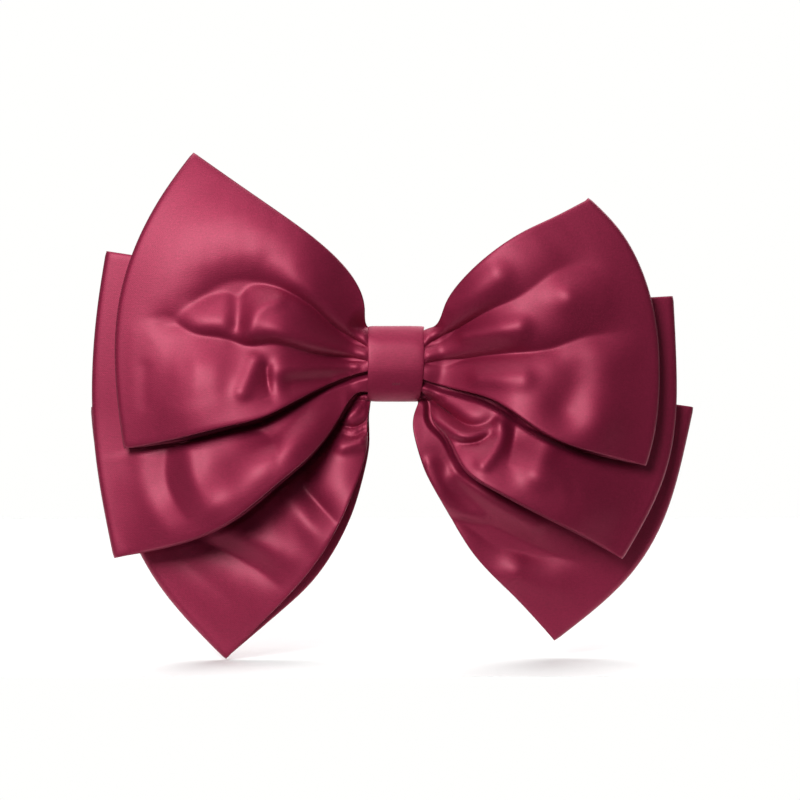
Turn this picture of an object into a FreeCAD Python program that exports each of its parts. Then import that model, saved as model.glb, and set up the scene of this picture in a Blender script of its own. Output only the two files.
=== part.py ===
import FreeCAD, Part

import math
import os

# Three-layer satin hair bow on a sprung French barrette. Millimetres.
# +X is the viewer's right, +Z is up, and +Y runs from the bow's face towards the hair.
# The origin is the middle of the hair channel, between the tension strip and the clasp arm.

V = FreeCAD.Vector

# ---- driving dimensions: fabric -------------------------------------------------------------
SHEET_T = 0.8           # one doubled satin sheet, as it lies in a loop
FOLD_T = 2.4            # over both sheets at a loop's outer fold
LAYER_GAP = 0.50        # air between neighbouring bands in the loops
WAIST_HALF_X = 12.0     # half length of the solid, gathered waist
REACH_NEAR = 15.5       # distance from the bow's middle where the loops start to swell
SOFT_START = 0.12       # how gently the swell sets in, as a fraction of that run
EARLY_SWELL = 0.7       # how much of the swell is gathered towards the knot
REACH_FAR = 118.0       # distance from the bow's middle where the longest loop ends
U_STEPS = 14            # facets from the knot to a loop's outer fold
V_STEPS = 8             # facets across a loop's width
CAVITY_START = 0.09     # the hollow's start and end, as fractions from knot to fold
CAVITY_END = 0.985

# How far forward each layer boundary stands: at the knot, the swell's pull, and at the far end
BOUNDARY_FRONT = (-19.1, -58.0, -26.0)
BOUNDARY_TOP_MIDDLE = (-16.1, -36.0, -24.5)
BOUNDARY_MIDDLE_BOTTOM = (-12.9, -25.0, -18.0)
BOUNDARY_BACK = (-9.7, -14.0, -11.5)
WAIST_GAP = 0.05        # half the air between two stacked waists

# ---- driving dimensions: knot ----------------------------------------------------------------
WRAP_W = 20.6           # the centre wrap's width along X
WRAP_T = 0.8
WRAP_CORNER = 2.0       # inner corner radius of the wrap
BUNDLE_CORNER = 1.8     # corner radius of the gathered bundle inside it
THREAD_D = 0.4
THREAD_TURNS = 4
THREAD_PITCH = 0.75
STITCH_R = 0.25
STITCH_LEN = 3.0
STITCH_COUNT = 6
STITCH_PITCH = 3.2
STITCH_SLANT = 0.35     # sideways lean of a whip stitch, per unit of its length

# ---- driving dimensions: barrette ------------------------------------------------------------
BASE_HALF_L = 40.0
BASE_W = 9.0
BASE_T = 0.8
BASE_MID_Y = -7.4       # middle of the base plate's thickness at x = 0
BASE_RISE = 4.6         # how far the base's ends stand towards the hair
HOLE_R = 0.85           # sewing holes
HOLE_X = 37.9

PIN_X = 34.6
PIN_Y = 2.9
PIN_R = 0.78
PIN_HEAD_R = 1.2
PIN_HEAD_T = 0.45
EAR_T = 0.7
EAR_R = 2.3
EAR_BORE_R = 0.80
KNUCKLE_BORE_R = 0.85

ARM_W = 6.8
ARM_T = 0.8
ARM_MID_Y = 3.4
ARM_RISE = 0.8
ARM_TIP_X = -38.6
ARM_KNUCKLE_R = 1.65
ARM_TIP_W = 8.6

STRIP_W = 5.0
STRIP_T = 0.5
STRIP_MID_Y = -3.25
STRIP_END = (-29.2, -2.3)
STRIP_KNUCKLE_R = 1.4
STRIP_KNUCKLE_W = 3.2

CATCH_X = -34.0
CATCH_L = 7.0
CATCH_W = 5.4
CATCH_T = 0.6
RIVET_R = 0.75
RIVET_HEAD_R = 1.15
RIVET_HEAD_T = 0.45

PRONG_Z = 1.6           # middle of a prong's thickness
PRONG_T = 0.55
PRONG_W = 3.2
PRONG_TOP_Y = 8.6
PRONG_ROOT_GAP = 0.12
WINDOW_HALF_Z = 2.35
WINDOW_L = 4.4
BARB_CLEAR = 0.05       # between a barb and the window's edge, and over the arm's face


# ---- small helpers ---------------------------------------------------------------------------
def box(x0, x1, y0, y1, z0, z1):
    return Part.makeBox(x1 - x0, y1 - y0, z1 - z0, V(x0, y0, z0))


def rod_z(x, y, radius, z0, z1):
    return Part.makeCylinder(radius, z1 - z0, V(x, y, z0), V(0, 0, 1))


def rod_y(x, z, radius, y0, y1):
    return Part.makeCylinder(radius, y1 - y0, V(x, y0, z), V(0, 1, 0))


def bow_radius(half_chord, rise):
    return (half_chord ** 2 + rise ** 2) / (2 * rise)


def arched_y(x, mid_y, half_chord, rise):
    """Height of an arc that is lowest at x = 0 and stands by `rise` at the half chord."""
    radius = bow_radius(half_chord, rise)
    return mid_y + radius - math.sqrt(radius ** 2 - x ** 2)


def strip_through(p0, p1, p2, thickness, width):
    """A metal strip bent to the arc through three XY points, `width` wide along Z."""
    circle = Part.Circle(V(*p0, 0), V(*p1, 0), V(*p2, 0))
    edges = []
    for side in (-1, 1):
        radius = circle.Radius + side * thickness / 2
        ring = []
        for point in (p0, p1, p2):
            arm = V(*point, 0) - circle.Center
            ring.append(circle.Center + arm.normalize() * radius)
        edges.append(Part.Arc(*ring).toShape())
    start, end = (edge.valueAt(edge.FirstParameter) for edge in edges)
    first = Part.makeLine(start, end)
    start, end = (edge.valueAt(edge.LastParameter) for edge in edges)
    last = Part.makeLine(start, end)
    outline = Part.Wire(Part.sortEdges([edges[0], last, edges[1], first])[0])
    strip = Part.Face(outline).extrude(V(0, 0, width))
    strip.translate(V(0, 0, -width / 2))
    return strip


def rounded_plan(x0, x1, width, y0=-30.0, y1=30.0):
    """A bar along X with fully rounded ends, tall enough in Y to trim a strip with."""
    radius = width / 2
    plan = box(x0 + radius, x1 - radius, y0, y1, -radius, radius)
    for x in (x0 + radius, x1 - radius):
        plan = plan.fuse(rod_y(x, 0, radius, y0, y1))
    return plan.removeSplitter()


def section_solid(polygon, offset, x0, x1):
    """A YZ polygon grown by `offset` with round corners, and extruded from x0 to x1."""
    corners = [V(x0, y, z) for y, z in polygon]
    wire = Part.makePolygon(corners + corners[:1])
    grown = wire.makeOffset2D(offset)
    return Part.Face(grown).extrude(V(x1 - x0, 0, 0))


# ---- the gathered knot -----------------------------------------------------------------------
BUNDLE = [(-17.6, -7.0), (-17.6, 7.0), (-13.5, 11.1), (-11.2, 11.1), (-11.2, -11.1), (-13.5, -11.1)]
WRAPPED = [(-17.6, -7.0), (-17.6, 7.0), (-13.5, 11.1), (-11.0, 11.1),
           (-8.6, 4.5), (-8.6, -4.5), (-11.0, -11.1), (-13.5, -11.1)]
WRAP_BACK_Y = -8.6 + WRAP_CORNER + WRAP_T


def thread_places():
    first = -(THREAD_TURNS - 1) / 2 * THREAD_PITCH
    return [first + turn * THREAD_PITCH for turn in range(THREAD_TURNS)]


def make_binding_thread():
    """Closed turns of thread that bind the three gathered waists together under the wrap."""
    rings = []
    for x in thread_places():
        x0 = x - THREAD_D / 2
        x1 = x + THREAD_D / 2
        outer = section_solid(BUNDLE, BUNDLE_CORNER, x0, x1)
        inner = section_solid(BUNDLE, BUNDLE_CORNER - THREAD_D, x0, x1)
        rings.append(outer.cut(inner))
    return Part.makeCompound(rings)


def make_waist(y0, y1):
    """One band's pleats, pressed into a slice of the round bundle, with the thread's groove."""
    bundle = section_solid(BUNDLE, BUNDLE_CORNER, -WAIST_HALF_X, WAIST_HALF_X)
    half_groove = THREAD_TURNS * THREAD_PITCH / 2
    grown = section_solid(BUNDLE, BUNDLE_CORNER + 1, -half_groove, half_groove)
    kept = section_solid(BUNDLE, BUNDLE_CORNER - THREAD_D - 0.02, -half_groove, half_groove)
    bundle = bundle.cut(grown.cut(kept))
    reach = WAIST_HALF_X + 1
    return bundle.common(box(-reach, reach, y0 + WAIST_GAP, y1 - WAIST_GAP, -20, 20))


def make_centre_wrap():
    half = WRAP_W / 2
    outer = section_solid(WRAPPED, WRAP_CORNER + WRAP_T, -half, half)
    inner = section_solid(WRAPPED, WRAP_CORNER, -half - 1, half + 1)
    return outer.cut(inner)


def make_wrap_stitches():
    """Slanted whip stitches that close the wrap behind the base plate."""
    y = WRAP_BACK_Y + STITCH_R + 0.02
    stitches = []
    for number in range(STITCH_COUNT):
        x = (number - (STITCH_COUNT - 1) / 2) * STITCH_PITCH
        way = V(STITCH_SLANT, 0, 1).normalize()
        start = V(x, y, 0) - way * (STITCH_LEN / 2)
        bar = Part.makeCylinder(STITCH_R, STITCH_LEN, start, way)
        for end in (start, start + way * STITCH_LEN):
            bar = bar.fuse(Part.makeSphere(STITCH_R, end))
        stitches.append(bar.removeSplitter())
    return Part.makeCompound(stitches)


# ---- the satin bands -------------------------------------------------------------------------
# Each loop is given by three edges in XZ: its upper edge and its lower edge, both from the knot
# outwards, and its outer fold, from the upper corner to the lower one.
LOOPS = {
    "top_band": (
        {"upper": [(-10.9, 12.5), (-15, 27), (-26, 42), (-48, 58.5), (-73.3, 76.2)],
         "fold": [(-73.3, 76.2), (-84, 60), (-93.8, 40), (-99.8, 8), (-97, -30.7)],
         "lower": [(-10.9, -3.2), (-47, -19.5), (-97, -30.7)]},
        {"upper": [(10.9, 12), (17.5, 21), (33, 38.3), (50, 49.2), (68.8, 59.1)],
         "fold": [(68.8, 59.1), (80, 47), (91, 25), (93.7, -8), (89, -36.8)],
         "lower": [(10.9, -6), (50, -24), (89, -36.8)]},
    ),
    "middle_band": (
        {"upper": [(-10.9, 4), (-55, 29), (-104.6, 40.5)],
         "fold": [(-104.6, 40.5), (-108.3, 10), (-109.2, -27), (-101, -70)],
         "lower": [(-10.9, -11), (-30, -32), (-60, -57), (-101, -70)]},
        {"upper": [(10.9, 2), (50, 19), (99.8, 24.2)],
         "fold": [(99.8, 24.2), (101, -12), (94.5, -45), (81, -70.3)],
         "lower": [(10.9, -11.5), (27, -38), (50, -53), (81, -70.3)]},
    ),
    "bottom_band": (
        {"upper": [(-10.9, -5), (-60, -10), (-111.2, -15.8)],
         "fold": [(-111.2, -15.8), (-106, -44), (-90, -75), (-61.7, -107.2)],
         "lower": [(-10.9, -14.2), (-12.5, -30), (-20, -62), (-37, -86), (-61.7, -107.2)]},
        {"upper": [(10.9, -6), (60, -9), (108.3, -15.9)],
         "fold": [(108.3, -15.9), (101, -46), (86, -76), (57.8, -101.3)],
         "lower": [(10.9, -14.2), (12.5, -30), (18.5, -52), (34, -76.5), (57.8, -101.3)]},
    ),
}
BAND_BOUNDARIES = {
    "top_band": (BOUNDARY_FRONT, BOUNDARY_TOP_MIDDLE),
    "middle_band": (BOUNDARY_TOP_MIDDLE, BOUNDARY_MIDDLE_BOTTOM),
    "bottom_band": (BOUNDARY_MIDDLE_BOTTOM, BOUNDARY_BACK),
}


def smooth_edge(points):
    """A smooth curve through hand-placed XZ points, read by a fraction of its length."""
    curve = Part.BSplineCurve()
    curve.interpolate([V(x, 0, z) for x, z in points])
    length = curve.length()

    def at(fraction):
        return curve.value(curve.parameterAtDistance(fraction * length))
    return at


def blend(a, b, amount):
    return a + (b - a) * amount


def ease(value):
    value = min(max(value, 0.0), 1.0)
    return value * value * (3 - 2 * value)


def boundary_y(boundary, point):
    """Height of a layer boundary at an XZ point: one swelling curve, by distance from the knot."""
    reach = math.hypot(point.x, point.z)
    t = min(max((reach - REACH_NEAR) / (REACH_FAR - REACH_NEAR), 0.0), 1.0)
    t = t * t * (1 + SOFT_START) / (t + SOFT_START)
    t = t * (1 + EARLY_SWELL * (1 - t))
    knot, pull, far = boundary
    return knot * (1 - t) ** 2 + 2 * pull * t * (1 - t) + far * t ** 2


def loop_surface(edges, boundaries):
    """Returns point(u, v, side, inset) on a loop's front (-1) or back (+1) sheet."""
    upper, fold, lower = (smooth_edge(edges[name]) for name in ("upper", "fold", "lower"))
    knot_top, knot_low = upper(0.0), lower(0.0)
    tip, corner = fold(0.0), fold(1.0)

    def point(u, v, side, inset):
        across = upper(u) * (1 - v) + lower(u) * v
        along = (knot_top * (1 - v) + knot_low * v) * (1 - u) + fold(v) * u
        corners = (knot_top * (1 - v) + knot_low * v) * (1 - u) + (tip * (1 - v) + corner * v) * u
        flat = across + along - corners
        front = boundary_y(boundaries[0], flat) + LAYER_GAP / 2
        back = boundary_y(boundaries[1], flat) - LAYER_GAP / 2
        middle = (front + back) / 2
        closing = ease((u - 0.55) / 0.45)
        outer = front if side < 0 else back
        y = blend(outer, middle + side * FOLD_T / 2, closing)
        return V(flat.x, y - side * inset, flat.z)
    return point


def loop_ring(point, v, inset):
    """Points once round a loop at one place across its width: front sheet out, back sheet in."""
    ring = []
    for side, order in ((-1, range(U_STEPS + 1)), (1, range(U_STEPS, -1, -1))):
        for step in order:
            u = step / U_STEPS
            if inset:
                u = blend(CAVITY_START, CAVITY_END, u)
            ring.append(point(u, v, side, inset))
    return ring


def skin(rows):
    """Triangles between neighbouring rows of points, round to the first row again."""
    faces = []
    for row, following in zip(rows, rows[1:] + rows[:1]):
        count = len(row)
        for i in range(count):
            j = (i + 1) % count
            a, b, c, d = row[i], row[j], following[j], following[i]
            if a.distanceToPoint(c) < b.distanceToPoint(d):
                triangles = ((a, b, c), (a, c, d))
            else:
                triangles = ((a, b, d), (b, c, d))
            for corners in triangles:
                faces.append(Part.Face(Part.makePolygon(corners + corners[:1])))
    return faces


def make_loop(edges, boundaries):
    """One closed loop of satin: an outer skin, an inner skin, and a rim along each edge."""
    point = loop_surface(edges, boundaries)
    places = [step / V_STEPS for step in range(V_STEPS + 1)]
    outer = [loop_ring(point, v, 0.0) for v in places]
    inner = [loop_ring(point, v, SHEET_T) for v in places]
    shell = Part.Shell(skin(outer + inner[::-1]))
    shell.sewShape()
    solid = Part.Solid(shell)
    if solid.Volume < 0:
        solid.reverse()
    return solid


def make_band(name):
    boundaries = BAND_BOUNDARIES[name]
    band = make_waist(boundaries[0][0], boundaries[1][0])
    for edges in LOOPS[name]:
        band = band.fuse(make_loop(edges, boundaries))
    return band


# ---- the French barrette ---------------------------------------------------------------------
def base_y(x):
    return arched_y(x, BASE_MID_Y, BASE_HALF_L, BASE_RISE)


def arm_y(x):
    return arched_y(x, ARM_MID_Y, BASE_HALF_L, ARM_RISE)


def make_ear(z0, z1):
    """A hinge ear: a round head about the pin on a leg that widens down to the base plate."""
    foot_y = base_y(PIN_X)
    corners = [(PIN_X - EAR_R, PIN_Y), (PIN_X - EAR_R - 0.7, foot_y),
               (PIN_X + EAR_R + 0.7, foot_y + 0.3), (PIN_X + EAR_R, PIN_Y)]
    leg = Part.makePolygon([V(x, y, z0) for x, y in corners + corners[:1]])
    ear = Part.Face(leg).extrude(V(0, 0, z1 - z0))
    ear = ear.fuse(rod_z(PIN_X, PIN_Y, EAR_R, z0, z1))
    return ear.cut(rod_z(PIN_X, PIN_Y, EAR_BORE_R, z0 - 1, z1 + 1))


def make_barrette_base():
    """The arched top plate, with a sewing hole at each end, hinge ears and the rivet's hole."""
    ends = [(-BASE_HALF_L, base_y(BASE_HALF_L)), (0, BASE_MID_Y), (BASE_HALF_L, base_y(BASE_HALF_L))]
    plate = strip_through(*ends, BASE_T, BASE_W)
    plate = plate.common(rounded_plan(-BASE_HALF_L + 0.2, BASE_HALF_L - 0.2, BASE_W))
    for x in (-HOLE_X, HOLE_X):
        plate = plate.cut(rod_y(x, 0, HOLE_R, -20, 10))
    plate = plate.cut(rod_y(CATCH_X, 0, RIVET_R + 0.02, -20, 10))
    for side in (-1, 1):
        edges = sorted((side * (BASE_W / 2 - EAR_T), side * BASE_W / 2))
        plate = plate.fuse(make_ear(*edges))
    return plate.removeSplitter()


def make_hinge_pin():
    """A plain pin through both ears, its ends headed over."""
    half = BASE_W / 2 + 0.05
    pin = rod_z(PIN_X, PIN_Y, PIN_R, -half - PIN_HEAD_T, half + PIN_HEAD_T)
    for z0 in (-half - PIN_HEAD_T, half):
        head = rod_z(PIN_X, PIN_Y, PIN_HEAD_R, z0, z0 + PIN_HEAD_T)
        rim = [edge for edge in head.Edges if abs(abs(edge.CenterOfMass.z) - half - PIN_HEAD_T) < 0.01
               and edge.Length > 1]
        pin = pin.fuse(head.makeFillet(0.3, rim[:1]))
    return pin.removeSplitter()


def make_clasp_arm():
    """The long arm, with two curled knuckles at the pin and a window over the prongs."""
    ends = [(ARM_TIP_X, arm_y(ARM_TIP_X)), (0, ARM_MID_Y), (PIN_X, arm_y(PIN_X))]
    arm = strip_through(*ends, ARM_T, ARM_TIP_W)
    plan = rounded_plan(ARM_TIP_X + 0.1, PIN_X + 4, ARM_W)
    eye = rounded_plan(ARM_TIP_X, CATCH_X + WINDOW_L / 2 + 3.2, ARM_TIP_W)
    arm = arm.common(plan.fuse(eye))
    window = box(CATCH_X - WINDOW_L / 2, CATCH_X + WINDOW_L / 2, -20, 20, -WINDOW_HALF_Z, WINDOW_HALF_Z)
    corners = [edge for edge in window.Edges if abs(edge.tangentAt(0).y) > 0.9]
    arm = arm.cut(window.makeFillet(0.7, corners))
    arm = arm.fuse(rod_z(PIN_X, PIN_Y, ARM_KNUCKLE_R, -ARM_W / 2, ARM_W / 2))
    slot = STRIP_KNUCKLE_W / 2 + 0.2
    arm = arm.cut(box(PIN_X - ARM_KNUCKLE_R - 1.2, PIN_X + 5, -20, 20, -slot, slot))
    return arm.cut(rod_z(PIN_X, PIN_Y, KNUCKLE_BORE_R, -BASE_W, BASE_W)).removeSplitter()


def make_tension_strip():
    """The bowed inner strip that presses the hair, hung on the same pin."""
    root = (PIN_X - 0.4, PIN_Y - STRIP_KNUCKLE_R + STRIP_T / 2)
    strip = strip_through(STRIP_END, (0, STRIP_MID_Y), root, STRIP_T, STRIP_W)
    wide = rounded_plan(STRIP_END[0], PIN_X - 5.0, STRIP_W)
    neck = box(PIN_X - 9.0, PIN_X + 1, -20, 20, -STRIP_KNUCKLE_W / 2, STRIP_KNUCKLE_W / 2)
    strip = strip.common(wide.fuse(neck))
    half = STRIP_KNUCKLE_W / 2
    strip = strip.fuse(rod_z(PIN_X, PIN_Y, STRIP_KNUCKLE_R, -half, half))
    return strip.cut(rod_z(PIN_X, PIN_Y, KNUCKLE_BORE_R, -half - 1, half + 1)).removeSplitter()


CATCH_FLOOR_Y = base_y(CATCH_X) + BASE_T / 2 + 0.35
CATCH_TOP_Y = CATCH_FLOOR_Y + CATCH_T


def make_catch_bracket():
    """The small plate that the prongs spring from, filed to sit on the arched base."""
    plate = box(CATCH_X - CATCH_L / 2, CATCH_X + CATCH_L / 2, -12, CATCH_TOP_Y,
                -CATCH_W / 2, CATCH_W / 2)
    ends = [(-BASE_HALF_L, base_y(BASE_HALF_L)), (0, BASE_MID_Y), (BASE_HALF_L, base_y(BASE_HALF_L))]
    radius = bow_radius(BASE_HALF_L, BASE_RISE) - BASE_T / 2 - 0.02
    inside = rod_z(0, BASE_MID_Y + bow_radius(BASE_HALF_L, BASE_RISE), radius, -10, 10)
    plate = plate.common(inside)
    return plate.cut(rod_y(CATCH_X, 0, RIVET_R + 0.02, -20, 10))


def make_catch_rivet():
    """One rivet, headed on the bow's side and flared over the bracket."""
    front_y = base_y(CATCH_X + RIVET_HEAD_R) - BASE_T / 2 - 0.03
    rivet = rod_y(CATCH_X, 0, RIVET_R, front_y - RIVET_HEAD_T, CATCH_TOP_Y + RIVET_HEAD_T)
    rivet = rivet.fuse(rod_y(CATCH_X, 0, RIVET_HEAD_R, front_y - RIVET_HEAD_T, front_y))
    tail_y = CATCH_TOP_Y + 0.02
    rivet = rivet.fuse(rod_y(CATCH_X, 0, RIVET_HEAD_R, tail_y, tail_y + RIVET_HEAD_T))
    bore = rod_y(CATCH_X, 0, RIVET_R * 0.55, CATCH_TOP_Y - 0.5, CATCH_TOP_Y + 2)
    return rivet.removeSplitter().cut(bore)


def make_release_prong(side):
    """A spring prong: a rounded finger tab at its end, and an outward barb over the clasp arm."""
    z_in = PRONG_Z - PRONG_T / 2
    z_out = PRONG_Z + PRONG_T / 2
    root_y = CATCH_TOP_Y + PRONG_ROOT_GAP
    tab_y = PRONG_TOP_Y - PRONG_W / 2
    prong = box(CATCH_X - PRONG_W / 2, CATCH_X + PRONG_W / 2, root_y, tab_y, z_in, z_out)
    prong = prong.fuse(rod_z(CATCH_X, tab_y, PRONG_W / 2, z_in, z_out))
    barb_y = arm_y(CATCH_X) + ARM_T / 2 + 0.15
    barb_z = WINDOW_HALF_Z - BARB_CLEAR
    wedge = [(barb_y, z_out - 0.1), (barb_y, barb_z), (barb_y + 1.3, z_out - 0.1)]
    outline = Part.makePolygon([V(CATCH_X - 1.1, y, z) for y, z in wedge + wedge[:1]])
    prong = prong.fuse(Part.Face(outline).extrude(V(2.2, 0, 0))).removeSplitter()
    if side < 0:
        prong = prong.mirror(V(0, 0, 0), V(0, 0, 1))
    return prong


# ---- write every sub-part --------------------------------------------------------------------
def make_all():
    parts = {name: make_band(name) for name in LOOPS}
    parts["binding_thread"] = make_binding_thread()
    parts["centre_wrap"] = make_centre_wrap()
    parts["wrap_stitches"] = make_wrap_stitches()
    parts["barrette_base"] = make_barrette_base()
    parts["hinge_pin"] = make_hinge_pin()
    parts["clasp_arm"] = make_clasp_arm()
    parts["tension_strip"] = make_tension_strip()
    parts["catch_bracket"] = make_catch_bracket()
    parts["catch_rivet"] = make_catch_rivet()
    parts["release_prong_upper"] = make_release_prong(1)
    parts["release_prong_lower"] = make_release_prong(-1)
    return parts


os.makedirs("parts", exist_ok=True)
for part_name, part_shape in make_all().items():
    part_shape.exportStep(os.path.join("parts", part_name + ".step"))
    extent = part_shape.BoundBox
    print(f"{part_name}: {len(part_shape.Solids)} solid, {part_shape.Volume:.1f} mm3, "
          f"x {extent.XMin:.1f}..{extent.XMax:.1f}, y {extent.YMin:.1f}..{extent.YMax:.1f}, "
          f"z {extent.ZMin:.1f}..{extent.ZMax:.1f}, valid {part_shape.isValid()}")
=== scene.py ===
import math

import bmesh
import bpy
import numpy as np
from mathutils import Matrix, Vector


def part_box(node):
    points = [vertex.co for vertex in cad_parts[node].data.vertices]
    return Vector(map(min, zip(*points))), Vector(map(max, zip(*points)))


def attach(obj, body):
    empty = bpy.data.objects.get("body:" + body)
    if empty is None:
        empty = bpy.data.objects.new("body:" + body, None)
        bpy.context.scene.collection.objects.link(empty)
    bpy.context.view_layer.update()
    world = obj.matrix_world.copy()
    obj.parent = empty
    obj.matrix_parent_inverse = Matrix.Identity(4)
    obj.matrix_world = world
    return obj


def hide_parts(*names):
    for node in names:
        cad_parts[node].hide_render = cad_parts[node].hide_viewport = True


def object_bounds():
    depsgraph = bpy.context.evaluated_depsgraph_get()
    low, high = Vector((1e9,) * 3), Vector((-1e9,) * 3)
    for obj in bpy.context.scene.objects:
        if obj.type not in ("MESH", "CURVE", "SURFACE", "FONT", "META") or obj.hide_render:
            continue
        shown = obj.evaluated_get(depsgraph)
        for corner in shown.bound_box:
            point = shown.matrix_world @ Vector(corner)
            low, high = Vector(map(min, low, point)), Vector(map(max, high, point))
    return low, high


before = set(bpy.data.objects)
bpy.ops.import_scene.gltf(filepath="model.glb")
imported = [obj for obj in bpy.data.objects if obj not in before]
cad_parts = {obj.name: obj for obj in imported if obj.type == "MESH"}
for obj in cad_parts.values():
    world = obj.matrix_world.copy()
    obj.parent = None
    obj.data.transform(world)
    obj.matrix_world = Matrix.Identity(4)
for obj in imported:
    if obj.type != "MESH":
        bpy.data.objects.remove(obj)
CAD_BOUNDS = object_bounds()

# Three-layer satin hair bow on a French barrette. Shapes are worked out in millimetres and made in
# metres. +X is the viewer's right, +Z is up, +Y runs from the bow's face towards the hair.
MM = 0.001

# ---- sizes -----------------------------------------------------------------------------------
SHEET_T = 0.8            # one doubled satin sheet
RIM_KEEP = 0.45          # how much of that thickness is left at a pressed edge
FOLD_R = 1.5             # radius of a loop's outer fold
KNOT_X = 9.2             # where a loop's gathered end goes into the wrap
FRONT_STEPS = 118        # columns from the knot to the outer fold, on the front sheet
BACK_STEPS = 56
FOLD_STEPS = 5
ACROSS = 118             # rows across a sheet
WAIST_STEPS = 5
SHEET_GAP = 1.1          # least distance between a loop's two sheets
KNOT_SHEET_GAP = 0.95    # the same inside the wrap
FRONT_CROWDING = 1.15    # above 1, a sheet's columns stand closer together near the knot
BACK_CROWDING = 1.1
PATH_STEP = 1.4          # how finely a crease's path is followed
SPLINE_STEPS = 800       # how finely a curve's length is measured

WRAP_LOW, WRAP_HIGH = (np.array(corner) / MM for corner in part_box("centre_wrap"))
WRAP_MID_Y = (WRAP_LOW[1] + WRAP_HIGH[1]) / 2
WRAP_DEPTH = (WRAP_HIGH[1] - WRAP_LOW[1]) / 2
WRAP_TALL = (WRAP_HIGH[2] - WRAP_LOW[2]) / 2
WRAP_FRONT_POWER = 2.05  # how square the wrap's section is, in front and behind
WRAP_BACK_POWER = 2.8
WRAP_T = 0.8
WRAP_AROUND = 168        # steps round the wrap, and round its strip's own section
WRAP_SECTION = 26
WRAP_LEFT, WRAP_RIGHT = -10.3, 10.2
WRAP_RIGHT_TAPER = 2.0   # how much the wrap narrows on its right, down to its lower edge
WRAP_CORNER = 0.35       # how square the strip's own section is
WRAP_WAVER = 0.12        # how far the strip's right edge wanders, and its left one
WRAP_LEFT_WAVER = 0.10
WRAP_WAVES = 0.10        # height of the soft waves over the strip
KNOT_ROOM = 8.6          # depth of the gathered layers at the knot's middle
KNOT_ROOM_LEAST = 3.2
KNOT_BACK = 1.0          # how far behind the wrap's middle that room ends
KNOT_HALF_X, KNOT_HALF_Z = 10.2, 12.0   # the gathered middle, and how far out the gathering fades
KNOT_FADE = 8.5
RELIEF_START, RELIEF_RISE = 9.4, 2.4    # where the creases come out from under the wrap


# ---- curves and fields -----------------------------------------------------------------------
def smoothstep(value):
    value = np.clip(value, 0.0, 1.0)
    return value * value * (3 - 2 * value)


def mix(a, b, amount):
    return a + (b - a) * amount


def softer_min(a, b, width):
    """The smaller of two heights, rounded off over `width`."""
    return (a + b) / 2 - np.sqrt((a - b) ** 2 + width * width) / 2


def curve_through(points, fractions):
    """A natural cubic spline through given points, read at fractions of its length."""
    points = np.array(points, float)
    count = len(points)
    span = np.maximum(np.linalg.norm(np.diff(points, axis=0), axis=1), 1e-6)
    knots = np.concatenate([[0], np.cumsum(span ** 0.8)])
    gaps = np.diff(knots)
    system = np.eye(count)
    right = np.zeros_like(points)
    for i in range(1, count - 1):
        system[i, i - 1] = gaps[i - 1]
        system[i, i] = 2 * (gaps[i - 1] + gaps[i])
        system[i, i + 1] = gaps[i]
        rise = np.diff(points[i - 1:i + 2], axis=0) / gaps[i - 1:i + 1, None]
        right[i] = 6 * (rise[1] - rise[0])
    bend = np.linalg.solve(system, right)

    def at(t):
        i = np.clip(np.searchsorted(knots, t) - 1, 0, count - 2)
        h = gaps[i][:, None]
        a = (knots[i + 1] - t)[:, None] / h
        b = 1 - a
        bow = ((a ** 3 - a) * bend[i] + (b ** 3 - b) * bend[i + 1]) * h * h / 6
        return a * points[i] + b * points[i + 1] + bow

    fine = np.linspace(0, knots[-1], SPLINE_STEPS)
    line = at(fine)
    run = np.concatenate([[0], np.cumsum(np.linalg.norm(np.diff(line, axis=0), axis=1))])
    return at(np.interp(np.asarray(fractions) * run[-1], run, fine))


def beside(path, x, z):
    """Distance to a smooth path, the side of it (+1 on its left) and its other values there.

    Where two stretches of the path are about as near, they are blended. A path of one point is
    taken as a short level stretch."""
    path = np.array(path, float)
    if len(path) == 1:
        path = np.concatenate([path, path])
        path[1, 0] += 0.5
    length = np.linalg.norm(np.diff(path[:, :2], axis=0), axis=1).sum()
    path = curve_through(path, np.linspace(0, 1, max(3, int(length / PATH_STEP))))
    nearest = np.full(x.shape, 1e9)
    stretches = []
    for start, end in zip(path[:-1], path[1:]):
        dx, dz = end[:2] - start[:2]
        length = math.hypot(dx, dz)
        t = np.clip(((x - start[0]) * dx + (z - start[1]) * dz) / length ** 2, 0, 1)
        away = np.hypot(x - start[0] - t * dx, z - start[1] - t * dz)
        turn = (dx * (z - start[1]) - dz * (x - start[0])) / length
        stretches.append((away, turn, t, start[2:], end[2:] - start[2:]))
        nearest = np.minimum(nearest, away)
    blur = 0.1 + 0.22 * nearest
    total = distance = side = 0
    values = np.zeros(x.shape + (path.shape[1] - 2,))
    for away, turn, t, first, change in stretches:
        weight = np.exp(-(away - nearest) / blur)
        total = total + weight
        distance = distance + weight * away
        side = side + weight * turn / np.maximum(away, 1e-6)
        values += weight[..., None] * (first + change * t[..., None])
    return distance / total, np.clip(side / total, -1, 1), values / total[..., None]


def pleat(path, x, z):
    """A crease (positive depth, away from the viewer) or a ridge (negative) along a path.

    Each point of the path is (x, z, depth, reach on its left, reach on its right)."""
    away, side, values = beside(path, x, z)
    depth, left, right = (values[..., i] for i in range(3))
    opening = smoothstep((np.hypot(x, z) - 18) / 30)
    reach = mix(right, left, (side + 1) / 2) * mix(1.0, CREASE_WIDEN, opening)
    sharp = mix(0.3, 0.9, opening)
    return depth * np.exp(-(np.sqrt(away * away + sharp * sharp) - sharp) / reach)


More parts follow.
